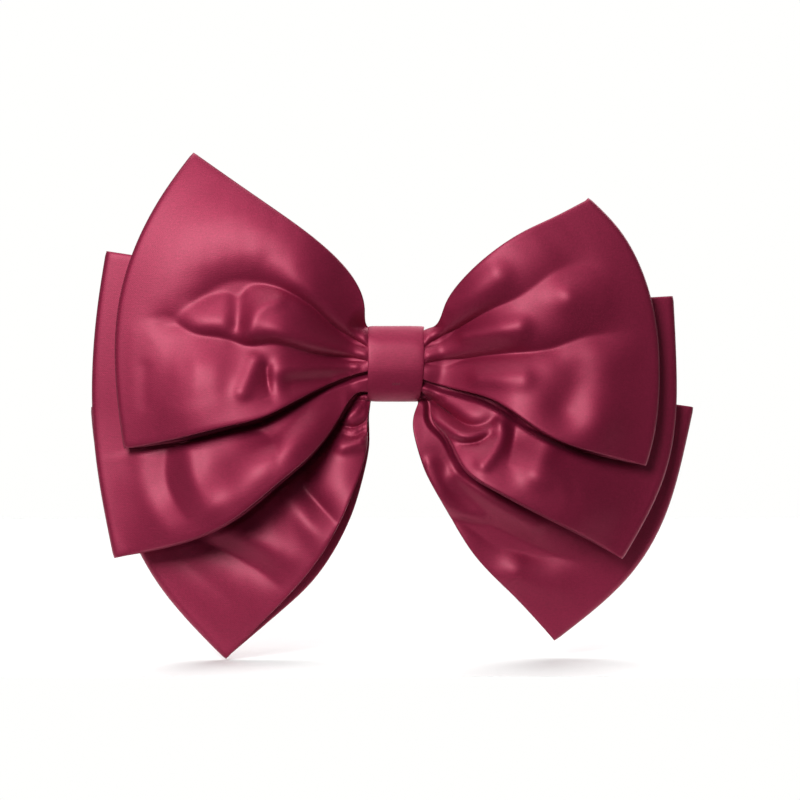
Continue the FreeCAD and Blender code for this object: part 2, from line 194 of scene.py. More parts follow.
def shoulders(path, x, z):
    """The cloth that a crease pushes forward on both of its sides."""
    away, _, values = beside(path, x, z)
    reach = 3.0 + 0.9 * (values[..., 1] + values[..., 2])
    near_knot = 1 - smoothstep((np.hypot(x, z) - 38) / 22)
    return values[..., 0] * np.exp(-(away / reach) ** 2) * near_knot


def swelling(path, x, z):
    """A rounded ridge or hollow along a path of (x, z, depth, reach)."""
    away, _, values = beside(path, x, z)
    reach = np.maximum(values[..., 1], 0.1)
    return values[..., 0] * np.exp(-(away / reach) ** 2)


def undulation(x, z, wavelength, seed):
    """Soft irregular waves, the same each run."""
    rng = np.random.default_rng(seed)
    total = np.zeros(x.shape)
    for _ in range(7):
        angle = rng.uniform(0, math.pi)
        size = wavelength * rng.uniform(0.7, 1.6)
        phase = rng.uniform(0, 2 * math.pi)
        along = x * math.cos(angle) + z * math.sin(angle)
        total += np.sin(2 * math.pi * along / size + phase)
    return total / 7


# ---- how far forward each layer stands -------------------------------------------------------
REACH_NEAR, REACH_FAR = 15.5, 118.0     # where the swell starts and ends, from the knot's middle
SOFT_START = 0.12
EARLY_SWELL = 0.7        # how much of the swell is gathered towards the knot
# Y of the boundaries between layers: at the knot, the swell's pull, and at the longest loop's end
BOUNDARY_FRONT = (-18.8, -54.0, -27.0)
BOUNDARY_TOP_MIDDLE = (-16.1, -36.0, -24.5)
BOUNDARY_MIDDLE_BOTTOM = (-12.9, -25.0, -18.0)
BOUNDARY_BACK = (-9.7, -14.0, -11.5)
LAYER_GAP = 0.5


def boundary_y(boundary, x, z):
    """Height of a boundary between two layers; it depends on the distance from the knot only."""
    reach = np.hypot(x, z)
    t = np.clip((reach - REACH_NEAR) / (REACH_FAR - REACH_NEAR), 0, 1)
    t = t * t * (1 + SOFT_START) / (t + SOFT_START)
    t = t * (1 + EARLY_SWELL * (1 - t))
    knot, pull, far = boundary
    return knot * (1 - t) ** 2 + 2 * pull * t * (1 - t) + far * t ** 2


def wrap_outer(angle):
    """(y, z) of the wrap's outside, at an angle from the front (0) over the top."""
    c, s = np.cos(angle), np.sin(angle)
    power = np.where(c > 0, WRAP_FRONT_POWER, WRAP_BACK_POWER)
    y = WRAP_MID_Y - WRAP_DEPTH * np.sign(c) * np.abs(c) ** (2 / power)
    z = WRAP_TALL * np.sign(s) * np.abs(s) ** (2 / power)
    return y, z


def knot_y(z, depth):
    """Height of a gathered layer inside the wrap, `depth` behind the wrap's inner face."""
    tall = WRAP_TALL - WRAP_T - 0.1
    share = np.clip(np.abs(z) / tall, 0, 1)
    drop = 1 - (1 - share ** WRAP_FRONT_POWER) ** (1 / WRAP_FRONT_POWER)
    front = WRAP_MID_Y - (WRAP_DEPTH - WRAP_T - 0.15) * (1 - drop)
    room = np.maximum(WRAP_MID_Y + KNOT_BACK - front, KNOT_ROOM_LEAST)
    return front + depth * np.clip(room / KNOT_ROOM, 0, 1)


# ---- the three bands -------------------------------------------------------------------------
# A loop's outline in XZ: upper and lower edge from the knot outwards, and the outer fold from the
# upper corner to the lower one. `under` is the lower edge of the back sheet, where it shows.
BANDS = {
    "top": {
        "boundaries": (BOUNDARY_FRONT, BOUNDARY_TOP_MIDDLE),
        "left": {
            "upper": [(-KNOT_X, 12.3), (-10.9, 14.2), (-11.4, 20), (-15, 30), (-24.5, 40.6),
                      (-36, 49.7), (-50, 59.6), (-73.3, 76.2)],
            "fold": [(-73.3, 76.2), (-84, 60), (-93.8, 40), (-99.5, 18), (-99.8, -8), (-97, -30.7)],
            "lower": [(-KNOT_X, -2.6), (-15, -4.0), (-25, -7.9), (-35, -13.2), (-47, -19.3),
                      (-60, -22.7), (-80, -27.5), (-97, -30.7)],
            "under": [(-KNOT_X, -2.4), (-15, -3.0), (-25, -6.5), (-35, -11.6), (-47, -19.0),
                      (-60, -24.0), (-80, -28.6), (-97, -30.7)],
        },
        "right": {
            "upper": [(KNOT_X, 11.6), (11.5, 12.6), (14.5, 14.0), (17.5, 20.5), (23, 29), (33, 38.4),
                      (45, 46.5), (56, 52), (68.8, 59.1)],
            "fold": [(68.8, 59.1), (80, 47), (88.3, 31), (92.9, 12), (93.7, -8), (92.2, -24),
                     (89, -36.8)],
            "lower": [(KNOT_X, -5.6), (20, -9), (33, -12.6), (43, -18.6), (55, -26.4), (70, -31.8),
                      (89, -36.8)],
            "under": [(KNOT_X, -5.2), (20, -8.2), (33, -12), (43, -18.8), (55, -27), (70, -32.6),
                      (89, -36.8)],
        },
    },
    "middle": {
        "boundaries": (BOUNDARY_TOP_MIDDLE, BOUNDARY_MIDDLE_BOTTOM),
        "left": {
            "upper": [(-KNOT_X, 6.5), (-25, 14), (-55, 29), (-104.6, 40.5)],
            "fold": [(-104.6, 40.5), (-107.7, 20), (-109.6, -5), (-108.6, -30), (-101, -70)],
            "lower": [(-KNOT_X, -10.4), (-14, -10.6), (-18, -15), (-22, -22), (-30, -32.5),
                      (-42, -43), (-60, -57), (-80, -65), (-101, -70)],
            "under": [(-KNOT_X, -10.0), (-13.5, -10.2), (-17.5, -14.5), (-22, -22.5), (-30, -33.2),
                      (-42, -44), (-60, -58), (-80, -66), (-101, -70)],
        },
        "right": {
            "upper": [(KNOT_X, 6), (25, 12), (50, 19), (99.8, 24.2)],
            "fold": [(99.8, 24.2), (100.9, 0), (100.5, -22), (96, -42), (81, -70.3)],
            "lower": [(KNOT_X, -10.0), (12.4, -14), (13.2, -20), (18, -26), (24, -37), (35, -45),
                      (50, -53), (70, -63.5), (81, -70.3)],
            "under": [(KNOT_X, -9.6), (12.2, -14), (13.2, -21), (18, -27), (24, -38), (35, -46),
                      (50, -54), (70, -64.2), (81, -70.3)],
        },
    },
    "bottom": {
        "boundaries": (BOUNDARY_MIDDLE_BOTTOM, BOUNDARY_BACK),
        "left": {
            "upper": [(-KNOT_X, 2), (-25, -3), (-60, -10), (-111.2, -15.8)],
            "fold": [(-111.2, -15.8), (-108, -38), (-99, -58), (-87, -79.5), (-61.7, -107.2)],
            "lower": [(-KNOT_X, -12.3), (-10.4, -20), (-10.6, -29), (-13, -40), (-18, -52.5),
                      (-25, -66), (-33, -77), (-45, -90), (-61.7, -107.2)],
            "under": [(-KNOT_X, -12.3), (-10.0, -20), (-9.8, -28), (-12, -41), (-16, -54.5),
                      (-22.5, -68), (-31, -80), (-45, -93), (-61.7, -107.2)],
        },
        "right": {
            "upper": [(KNOT_X, 2), (25, -3), (60, -9), (108.3, -15.9)],
            "fold": [(108.3, -15.9), (105, -31), (98.5, -54), (86, -76), (57.8, -101.3)],
            "lower": [(KNOT_X, -10.8), (8.4, -13.5), (6.2, -20), (7.2, -29), (10.5, -39), (18, -52.8),
                      (29, -70.5), (42, -84), (57.8, -101.3)],
            "under": [(KNOT_X, -11), (8.8, -14), (7.4, -21), (8.4, -30), (12, -40), (19.5, -53.5),
                      (30, -70), (43, -83.5), (57.8, -101.3)],
        },
    },
}

# Creases: (x, z, depth, reach on the path's left, reach on its right), seen along the path. Where
# a path runs out from the knot, its left is below it in a left loop and above it in a right loop.
CREASES = {
    "top_left": [
        [(-9, 5.2, 1.8, 2.4, 0.9), (-15, 8.3, 2.8, 4.0, 1.1), (-24, 14.5, 3.4, 5, 1.4),
         (-30, 20, 3.8, 5, 1.8), (-38, 25, 3.8, 6, 3), (-47, 28, 4.6, 9, 7),
         (-56, 28, 5.2, 11, 10), (-66, 25, 4.8, 12, 10), (-76, 19, 2.8, 12, 10),
         (-88, 9, 0.4, 12, 10)],
        [(-9, 0.7, 1.6, 2.0, 0.9), (-20, 2.3, 2.6, 3.4, 1.2), (-32, 3.9, 3.0, 6.0, 1.4),
         (-45, 6.7, 3.2, 10, 1.7), (-52, 5.9, 2.8, 12, 2.0), (-62, 8.6, 2.9, 14, 2.4),
         (-72, 10.2, 2.8, 14, 2.8), (-82, 15.2, 2.5, 13, 3.2), (-90, 15.6, 1.5, 10, 4),
         (-98, 15, 0.5, 6, 5)],
        [(-46, -2, 2.0, 2.6, 2.6), (-45.5, -8, 2.6, 2.6, 3), (-44, -13, 1.0, 2.6, 3)],
    ],
    "top_right": [
        [(9, 5.2, 1.8, 0.9, 2.4), (15, 8.6, 2.6, 1.1, 3.6), (25, 14, 3.2, 1.6, 6),
         (35, 19.5, 2.8, 3, 7), (43, 23, 2.2, 6, 8), (55, 31, 2.2, 9, 10), (65, 35, 2.0, 10, 10),
         (76, 33, 0.8, 9, 9)],
        [(9, 0, 1.6, 0.9, 2.0), (20, 1.0, 2.6, 1.4, 3.6), (30, 2.3, 3.2, 2.2, 5),
         (42, 3.4, 3.6, 3.6, 6), (55, 4.8, 3.2, 5, 7), (65, 8.4, 2.6, 6, 8), (75, 10.2, 2.0, 7, 9),
         (92, 12, 0.9, 8, 9)],
    ],
    "middle_left": [
        [(-52, -24, 1.5, 4, 4), (-44, -27, 2.0, 5, 5), (-42, -35, 1.0, 5, 5)],
        [(-82, -28, 1.6, 6, 6), (-83, -40, 2.4, 6, 7), (-79, -50, 2.2, 6, 8), (-72, -57, 0.8, 7, 8)],
    ],
    "middle_right": [
        [(11, -12, 2.2, 1.6, 1.2), (20, -18.6, 4.4, 3, 2.0), (26, -22.5, 4.4, 4, 2.4),
         (32, -22.5, 3.6, 4, 3), (38, -17.5, 1.2, 3, 3)],
        [(24, -29, 1.6, 2.5, 2.5), (30, -28, 3.0, 3, 3), (35, -24, 1.0, 3, 3)],
        [(43, -20, 1.0, 5, 6), (42, -27, 2.6, 5, 6), (40, -36, 1.6, 5, 6)],
        [(60, -38, 0.4, 8, 8), (63, -46, 0.9, 8, 8), (62, -55, 0.4, 8, 8)],
    ],
    "bottom_left": [
        [(-12, -12.5, 1.6, 1.4, 1.4), (-17, -17, 2.2, 2.4, 2.2), (-24, -26, 2.4, 3.4, 3.0),
         (-33, -38, 2.0, 4, 4)],
        [(-11, -21, 1.6, 1.2, 1.2), (-16, -23.4, 2.0, 1.4, 1.4), (-21, -21.5, 1.4, 1.6, 1.6)],
        [(-11.5, -24.5, 1.2, 1.2, 1.2), (-16, -26.6, 1.8, 1.4, 1.4), (-21, -25.0, 1.4, 1.6, 1.6)],
        [(-36, -43, 1.0, 6, 4), (-28, -51, 2.6, 6, 4), (-20, -59, 1.2, 6, 4)],
        [(-76, -62, 1.0, 7, 6), (-62, -69, 2.4, 7, 6), (-50, -75, 2.0, 7, 6), (-40, -82, 0.6, 7, 6)],
        [(-86, -64, 0.8, 6, 6), (-79, -72, 1.6, 6, 6), (-70, -79, 1.2, 7, 7), (-58, -88, 0.4, 8, 8)],
    ],
    "bottom_right": [
        [(20, -56, 1.6, 3, 3), (30, -59.5, 3.6, 4, 4), (42, -65, 4.2, 5, 5), (55, -70, 3.4, 6, 6),
         (68, -73, 1.4, 6, 6)],
        [(16, -34, 0.6, 5, 5), (24, -45, 1.6, 5, 5), (34, -54, 0.8, 6, 6)],
        [(88, -38, 1.5, 7, 7), (84, -52, 2.2, 7, 7), (76, -64, 1.0, 7, 7)],
    ],
}

# Rounded ridges (negative) and hollows (positive): (x, z, depth, reach)
SWELLS = {
    "top_left": [
        [(-18, 3.8, -0.8, 2.4), (-25, 5.5, -1.8, 4), (-33, 7.5, -2.4, 6), (-42, 10.5, -2.2, 6.5),
         (-49, 12, -1.2, 6)],
        [(-42, 22, -0.7, 3), (-49, 18, -0.8, 3), (-51, 11, -0.5, 3)],
        [(-56.5, 24, 1.2, 4), (-56, 14, 1.2, 4)],
        [(-63, 13, -0.9, 6), (-73, 13, -0.7, 7)],
        [(-50, 0, -1.0, 3.5), (-54, -10, -1.2, 3.5)],
        [(-15, -1.2, -0.8, 1.8), (-30, -1.6, -1.4, 3.0), (-42, -2.4, -0.8, 4)],
        [(-24, -6.2, 0.8, 2.5), (-37, -7.6, 1.6, 4)],
        [(-96, 10, -0.9, 3), (-97, -16, -0.9, 3)],
        [(-91, -2, 0.9, 3), (-91, -14, 0.9, 3)],
        [(-70, -4, -1.8, 14), (-78, -14, -1.2, 14)],
    ],
    "top_right": [
        [(25, 10.0, -1.2, 2.6), (43, 12, -1.6, 5)],
        [(30, -5.5, -1.4, 3.6), (44, -6, -1.2, 5)],
        [(62, 23, -2.0, 8), (72, 22, -1.2, 8)],
        [(85, 3, -1.2, 7), (72, 0, -0.8, 8)],
        [(60, -16, 2.0, 9), (66, -4, 1.4, 8)],
        [(74, -22, -1.4, 8)],
        [(20, 20, -1.0, 4), (35, 30, -1.6, 7)],
    ],
    "middle_left": [
        [(-30, -24, -1.0, 6), (-48, -38, -2.0, 9), (-60, -48, -2.0, 10), (-88, -63, -1.6, 9)],
        [(-74, -33, -1.2, 5), (-71, -43, -1.2, 5), (-66, -49, -0.8, 6)],
        [(-93, -34, -1.2, 5), (-91, -46, -1.2, 5), (-84, -58, -0.9, 5)],
        [(-100, -44, -1.0, 5)],
    ],
    "middle_right": [
        [(15, -20.5, -1.0, 1.8), (25, -26, -1.6, 2.0), (36, -22, -1.2, 2.4)],
        [(38, -19, -1.4, 3), (37, -28, -1.6, 3), (31, -36, -1.2, 3)],
        [(54, -28, -1.8, 6), (50, -39, -1.6, 6)],
        [(56, -44, -1.0, 7), (74, -55, -2.0, 9), (84, -56, -1.4, 9)],
    ],
    "bottom_left": [
        [(-11.5, -11.5, -0.8, 1.6), (-15, -17, -1.4, 2.0), (-19.5, -19.5, -1.2, 2.2)],
        [(-13, -28.5, -1.4, 2.4), (-19, -30, -1.2, 3)],
        [(-40, -48, -0.8, 5), (-32, -57, -1.2, 5), (-25, -65, -0.6, 5)],
        [(-64, -60, -0.7, 5), (-52, -64, -1.0, 5), (-40, -70, -0.6, 5)],
        [(-84, -74, -0.6, 5), (-76, -84, -0.9, 6), (-64, -94, -0.6, 6)],
    ],
    "bottom_right": [
        [(12, -37, -0.8, 3), (18, -50, -1.4, 3.6), (30, -57, -0.6, 3)],
        [(22, -41, -1.6, 4), (36, -50.5, -1.8, 4), (50, -59, -1.2, 4)],
        [(45, -77, -2.0, 7), (60, -84, -1.6, 8)],
        [(96, -36, -1.2, 5), (92, -55, -1.0, 5)],
        [(80, -72, -1.2, 6)],
    ],
}

# Where a lower layer puffs out beside the edge of the layer over it: a line, the height that the
# puff stands forward at each of its points, and how far the puff is carried away from the line
PUFFS = {
    "middle_left": ([(-8, -2.2, 2.6), (-15, -4.0, 3.4), (-25, -7.7, 4.8), (-35, -13, 5.4),
                     (-47, -19.5, 4.8), (-60, -23, 3.6), (-80, -27.5, 1.6), (-97, -30.7, 0.1)],
                    1, 24.0),
    "middle_right": ([(8, -5.4, 2.6), (20, -9.2, 3.6), (33, -13, 4.6), (43, -19, 4.4),
                      (55, -26, 4.0), (70, -31.8, 2.2), (89, -36.8, 0.1)], -1, 24.0),
    "bottom_left": ([(-8, -9.9, 3.4), (-14, -10.6, 3.6), (-18, -15, 3.6), (-22, -22, 3.8),
                     (-30, -32.5, 3.4), (-42, -43, 2.6), (-60, -57, 1.6), (-80, -65, 1.0),
                     (-101, -70, 0.6)], 1, 22.0),
    "bottom_right": ([(8, -9.9, 4.6), (12.4, -14, 5.0), (13.2, -20, 5.0), (18, -26, 4.4),
                      (24, -37, 3.4), (35, -45, 2.6), (50, -53, 1.8), (70, -63.5, 1.0),
                      (81, -70.3, 0.6)], -1, 22.0),
}
PUFF_RISE = 3.2          # how soon half of a puff's height is reached, and the other half
PUFF_ROLL = 16.0
CREASE_SCALE = 1.5       # all the creases' depths and all the swells' heights are taken times these
SWELL_SCALE = 1.3
CREASE_WIDEN = 1.35      # how much wider a crease is, away from the knot
SHOULDER = 0.45          # share of a crease's depth that its shoulders stand forward


def loop_grid(outline, lower, us, vs):
    """XZ of a loop's sheet at every (u, v): a patch between its four edges."""
    tall = np.array(us)
    top = curve_through(outline["upper"], tall)
    low = curve_through(outline[lower], tall)
    fold = curve_through(outline["fold"], np.array(vs))
    u = tall[:, None, None]
    v = np.array(vs)[None, :, None]
    knot = top[0] * (1 - v) + low[0] * v
    corners = knot * (1 - u) + (top[-1] * (1 - v) + low[-1] * v) * u
    return top[:, None] * (1 - v) + low[:, None] * v + knot * (1 - u) + fold[None] * u - corners


def puff_height(name, x, z):
    """How far a lower layer stands forward beside the edge of the layer over it."""
    if name not in PUFFS:
        return np.zeros(x.shape)
    line, way, carried = PUFFS[name]
    away, side, values = beside(line, x, z)
    outside = away * side * way
    rise = mix(smoothstep(outside / PUFF_RISE), smoothstep(outside / PUFF_ROLL), 0.5)
    return values[..., 0] * rise * np.exp(-(np.maximum(outside, 0) / carried) ** 2)


# How far each loop's front sheet leans back at its upper edge, how far its back sheet does, and
# how far the front sheet comes forward at its lower edge
LEANS = {
    "top_left": (9.0, 5.0, 3.0), "top_right": (4.0, 2.0, 3.5),
    "middle_left": (0.0, 0.0, 12.0), "middle_right": (0.0, 0.0, 11.0),
    "bottom_left": (0.0, 0.0, 9.0), "bottom_right": (0.0, 0.0, -4.0),
}
FRONT_LEAN_SHARE = 0.45  # how much of a sheet's width leans back, from its upper edge
BACK_LEAN_SHARE = 0.36
FRONT_WAVES = ((26, 11, 0.55), (9, 31, 0.10))   # soft waves: length, first seed, height
BACK_WAVES = (34, 51, 0.35)                     # length, seed, height
BACK_GATHER = 0.75       # height of the gathers on the hidden side, and where they start and fade
BACK_GATHER_START, BACK_GATHER_RISE = 11, 8
BACK_GATHER_FULL, BACK_GATHER_FADE = 18, 22


def band_of(name):
    return name.split("_")[0]


def boundaries_of(name):
    return BANDS[band_of(name)]["boundaries"]


def behind_boundary(name, x, z):
    """Y of a sheet that lies close behind the boundary in front of its band."""
    return boundary_y(boundaries_of(name)[0], x, z) + LAYER_GAP / 2 + SHEET_T / 2


def leaning(u):
    """How far the lean has set in, from the knot outwards."""
    return smoothstep((u - 0.03) / 0.25)


def front_heights(name, x, z, u, v):
    """Y of a loop's front sheet, without its creases, before it is pulled into the knot."""
    y = behind_boundary(name, x, z) - puff_height(name, x, z)
    back, _, forward = LEANS[name]
    y = y + back * np.maximum(0, 1 - v / FRONT_LEAN_SHARE) ** 2 * leaning(u)
    return y - forward * smoothstep((v - 0.5) / 0.6) * settled(u)


def settled(u):
    """How far a sheet has left the knot's gathers, for its broad shape and its soft waves."""
    return smoothstep((u - 0.12) / 0.3)


def back_heights(name, x, z, u, v):
    """Y of a loop's back sheet, before its gathers and its outer fold."""
    band = band_of(name)
    y = boundary_y(boundaries_of(name)[1], x, z) - LAYER_GAP / 2 - SHEET_T / 2
    y = y + LEANS[name][1] * np.maximum(0, 1 - v / BACK_LEAN_SHARE) ** 2 * leaning(u)
    deep = np.maximum(visible_depth(name, z), BACK_DEPTH[band]) + KNOT_PLY
    if band == "top":
        deep = deep + KNOT_TOP_SPREAD * smoothstep((z - 7.5) / 2.5)
    return mix(y, knot_y(z, deep), into_knot(x, z))


def relief(name, x, z, u):
    """Creases, rounded ridges and soft waves of a loop's front sheet, fading inside the wrap."""
    y = np.zeros(x.shape)
    for path in CREASES[name]:
        y = y + (pleat(path, x, z) - SHOULDER * shoulders(path, x, z)) * CREASE_SCALE
    for path in SWELLS[name]:
        y = y + swelling(path, x, z) * SWELL_SCALE
    number = sorted(CREASES).index(name)
    for wavelength, first_seed, height in FRONT_WAVES:
        y = y + undulation(x, z, wavelength, first_seed + number) * height * settled(u)
    return y * smoothstep((np.abs(x) - RELIEF_START) / RELIEF_RISE)


def sheet_places(outline, lower, us, vs):
    """X and Z of a sheet's points, and their shares outwards (u) and across (v)."""
    flat = loop_grid(outline, lower, us, vs)
    ones = np.ones((len(us), len(vs)))
    return flat[..., 0], flat[..., 1], us[:, None] * ones, vs[None, :] * ones


def front_y(name, x, z, u, v):
    """Y of a loop's front sheet with its creases, before its outer fold."""
    y = mix(front_heights(name, x, z, u, v), knot_y(z, visible_depth(name, z)), into_knot(x, z))
    y = under_cover(name, x, z, y + relief(name, x, z, u))
    gap = mix(SHEET_GAP, KNOT_SHEET_GAP, into_knot(x, z))
    return softer_min(y, back_heights(name, x, z, u, v) - gap, 0.4)


def back_y(name, x, z, u, v):
    """Y of a loop's back sheet with its waves and gathers, before its outer fold."""
    y = back_heights(name, x, z, u, v)
    wavelength, seed, height = BACK_WAVES
    y = y + undulation(x, z, wavelength, seed) * height * smoothstep((u - 0.1) / 0.3)
    bare = 1.0 if band_of(name) == "bottom" else smoothstep((0.34 - v) / 0.12)
    return y + back_gathers(x, z) * bare


def closed_to_fold(name, y, x, z, u, v, way):
    """Brings a sheet in towards its loop's outer fold; `way` is -1 in front and 1 behind."""
    middle = (front_heights(name, x, z, u, v) + back_heights(name, x, z, u, v)) / 2
    return mix(y, middle + way * FOLD_R, smoothstep((u - 0.62) / 0.38) ** 1.4)


def loop_sheets(name, outline, vs):
    """A loop's front and back sheet, each as grids of x, y and z."""
    front_u = np.linspace(0, 1, FRONT_STEPS) ** FRONT_CROWDING
    back_u = np.linspace(0, 1, BACK_STEPS) ** BACK_CROWDING
    sheets = []
    for lower, us, height, way in (("lower", front_u, front_y, -1), ("under", back_u, back_y, 1)):
        x, z, u, v = sheet_places(outline, lower, us, vs)
        y = closed_to_fold(name, height(name, x, z, u, v), x, z, u, v, way)
        sheets.append((x, y, z))
    return sheets


def back_gathers(x, z):
    """Shallow gathers that fan out from the wrap on the bow's hidden side."""
    reach = np.hypot(x, z)
    turn = np.arctan2(z, np.abs(x))
    folds = np.sin(turn * 17 + np.sin(turn * 5) * 1.6)
    begun = smoothstep((reach - BACK_GATHER_START) / BACK_GATHER_RISE)
    faded = np.exp(-np.maximum(reach - BACK_GATHER_FULL, 0) / BACK_GATHER_FADE)
    return folds * BACK_GATHER * begun * faded


def under_cover(name, x, z, y):
    """Keeps a sheet behind its boundary where the layer over it covers it."""
    if name not in PUFFS:
        return y
    line, way, _ = PUFFS[name]
    away, side, _ = beside(line, x, z)
    uncovered = smoothstep((away * side * way - 0.6) / 2.6)
    hidden = knot_y(z, BEHIND_DEPTH[band_of(name)])
    held = np.maximum(y, mix(behind_boundary(name, x, z), hidden, into_knot(x, z)))
    return mix(held, y, uncovered)


def into_knot(x, z):
    """1 inside the wrap, falling to 0 a little way out of it."""
    beyond_x = np.maximum(np.abs(x) - KNOT_HALF_X, 0)
    beyond_z = np.maximum(np.abs(z) - KNOT_HALF_Z, 0)
    return 1 - smoothstep(np.hypot(beyond_x, beyond_z) / KNOT_FADE)


# The height at which each band shows at the wrap's edge: below it, the band is the front layer
SHOWS_BELOW = {
    "top_left": 20.0, "top_right": 20.0,
    "middle_left": -4.6, "middle_right": -7.4,
    "bottom_left": -12.0, "bottom_right": -11.8,
}
# Depths behind the wrap's inner face: of a front sheet that shows there, of one that another band
# covers, and the least depth that a band's back sheet is counted from
FRONT_DEPTH = 0.1
BEHIND_DEPTH = {"top": 0.1, "middle": 3.5, "bottom": 6.4}
BACK_DEPTH = {"top": 0.0, "middle": 3.0, "bottom": 6.0}
KNOT_PLY = 2.2           # from a band's front sheet to its back sheet, in the knot
KNOT_TOP_SPREAD = 3.0    # added to that at the knot's top, where the top band is alone


def visible_depth(name, z):
    """How far behind the wrap's inner face a band's front sheet lies, at a height z in the knot."""
    hidden = smoothstep((z - SHOWS_BELOW[name]) / 1.6)
    return mix(FRONT_DEPTH, BEHIND_DEPTH[band_of(name)], hidden)


def outward_of(outline, vs):
    """Unit XZ directions out of a loop's outer fold."""
    edge = curve_through(outline["fold"], vs)
    way = np.gradient(edge, axis=0)
    way /= np.linalg.norm(way, axis=1)[:, None]
    outward = np.stack([way[:, 1], -way[:, 0]], axis=1)
    return -outward if np.mean(outward[:, 0] * edge[:, 0]) < 0 else outward


def fold_columns(front, back, outward):
    """The turn at a loop's outer fold, between its last front column and last back column."""
    fx, fy, fz = (part[-1] for part in front)
    by = back[1][-1]
    columns = []
    for step in range(1, FOLD_STEPS):
        angle = math.pi * step / FOLD_STEPS
        out = np.sin(angle) * FOLD_R
        y = mix(fy, by, (1 - math.cos(angle)) / 2)
        columns.append(np.stack([fx + outward[:, 0] * out, y, fz + outward[:, 1] * out], axis=1))
    return columns


def inset_fold(sheet, outward):
    """Moves a sheet's outer end in by the fold's radius, so that the turn reaches the fold."""
    x, y, z = sheet
    share = np.linspace(0, 1, len(x))[:, None] ** 6 * FOLD_R
    return x - outward[:, 0] * share, y, z - outward[:, 1] * share


def columns_of(sheet):
    """A sheet's columns of points, from the knot outwards."""
    x, y, z = sheet
    return [np.stack([x[i], y[i], z[i]], axis=1) for i in range(len(x))]


def band_columns(band):
    """One closed run of columns round a band: left loop, waist, right loop, waist."""
    loops = {}
    for side in ("left", "right"):
        outline = BANDS[band][side]
        vs = np.linspace(0, 1, ACROSS)
        outward = outward_of(outline, vs)
        front, back = (inset_fold(sheet, outward)
                       for sheet in loop_sheets(f"{band}_{side}", outline, vs))
        loops[side] = (columns_of(front), fold_columns(front, back, outward), columns_of(back))
    front, turn, back = loops["left"]
    right_front, right_turn, right_back = loops["right"]
    run = back + turn[::-1] + front[::-1]
    run += waist_columns(front[0], right_front[0])
    run += right_front + right_turn + right_back[::-1]
    return run + waist_columns(right_back[0], back[0])


def waist_columns(start, end):
    """The columns between two loops' gathered ends, inside the wrap."""
    return [mix(start, end, step / WAIST_STEPS) for step in range(1, WAIST_STEPS)]


def grid_object(name, columns):
    """A mesh through columns of points; the last column joins on to the first."""
    count, across = len(columns), len(columns[0])
    faces = []
    for i in range(count):
        j = (i + 1) % count
        for k in range(across - 1):
            faces.append((i * across + k, i * across + k + 1, j * across + k + 1, j * across + k))
    mesh = bpy.data.meshes.new(name)
    mesh.from_pydata((np.concatenate(columns) * MM).tolist(), [], faces)
    smooth(mesh)
    obj = bpy.data.objects.new(name, mesh)
    bpy.context.scene.collection.objects.link(obj)
    return obj


def smooth(mesh):
    mesh.polygons.foreach_set("use_smooth", [True] * len(mesh.polygons))


def thicken(obj, across):
    """Gives a grid the thickness of its sheet, with thinner, pressed edges."""
    group = obj.vertex_groups.new(name="sheet")
    shares = (RIM_KEEP, (1 + RIM_KEEP) / 2)
    rows = {0: [], 1: [], 2: []}
    for index in range(len(obj.data.vertices)):
        row = index % across
        rows[min(row, across - 1 - row, 2)].append(index)
    for row, share in enumerate((*shares, 1.0)):
        group.add(rows[row], share, "REPLACE")
    solid = obj.modifiers.new("thickness", "SOLIDIFY")
    solid.thickness = SHEET_T * MM
    solid.offset = 0
    solid.vertex_group = "sheet"
    bpy.context.view_layer.objects.active = obj
    depsgraph = bpy.context.evaluated_depsgraph_get()
    made = bpy.data.meshes.new_from_object(obj.evaluated_get(depsgraph))
    obj.modifiers.clear()
    obj.vertex_groups.clear()
    obj.data = made
    smooth(made)


# ---- materials -------------------------------------------------------------------------------
def new_material(name):
    material = bpy.data.materials.new(name)
    material.use_nodes = True
    nodes = material.node_tree.nodes
    return material, nodes, material.node_tree.links, nodes["Principled BSDF"]


def noise(nodes, links, coords, scale, detail=4.0, stretch=(1, 1, 1)):
    mapping = nodes.new("ShaderNodeMapping")
    mapping.inputs["Scale"].default_value = stretch
    links.new(coords, mapping.inputs["Vector"])
    texture = nodes.new("ShaderNodeTexNoise")
    texture.inputs["Scale"].default_value = scale
    texture.inputs["Detail"].default_value = detail
    links.new(mapping.outputs["Vector"], texture.inputs["Vector"])
    return texture.outputs["Fac"]


def ramp(nodes, links, value, stops):
    node = nodes.new("ShaderNodeValToRGB")
    elements = node.color_ramp.elements
    while len(elements) < len(stops):
        elements.new(0.5)
    for element, (place, colour) in zip(elements, stops):
        element.position = place
        element.color = (*colour, 1)
    links.new(value, node.inputs["Fac"])
    return node.outputs["Color"]


def span(nodes, links, value, low, high):
    node = nodes.new("ShaderNodeMapRange")
    node.inputs["To Min"].default_value = low
    node.inputs["To Max"].default_value = high
    links.new(value, node.inputs["Value"])
    return node.outputs["Result"]


def bump(nodes, links, height, strength, distance, normal=None):
    node = nodes.new("ShaderNodeBump")
    node.inputs["Strength"].default_value = strength
    node.inputs["Distance"].default_value = distance
    links.new(height, node.inputs["Height"])
    if normal is not None:
        links.new(normal, node.inputs["Normal"])
    return node.outputs["Normal"]


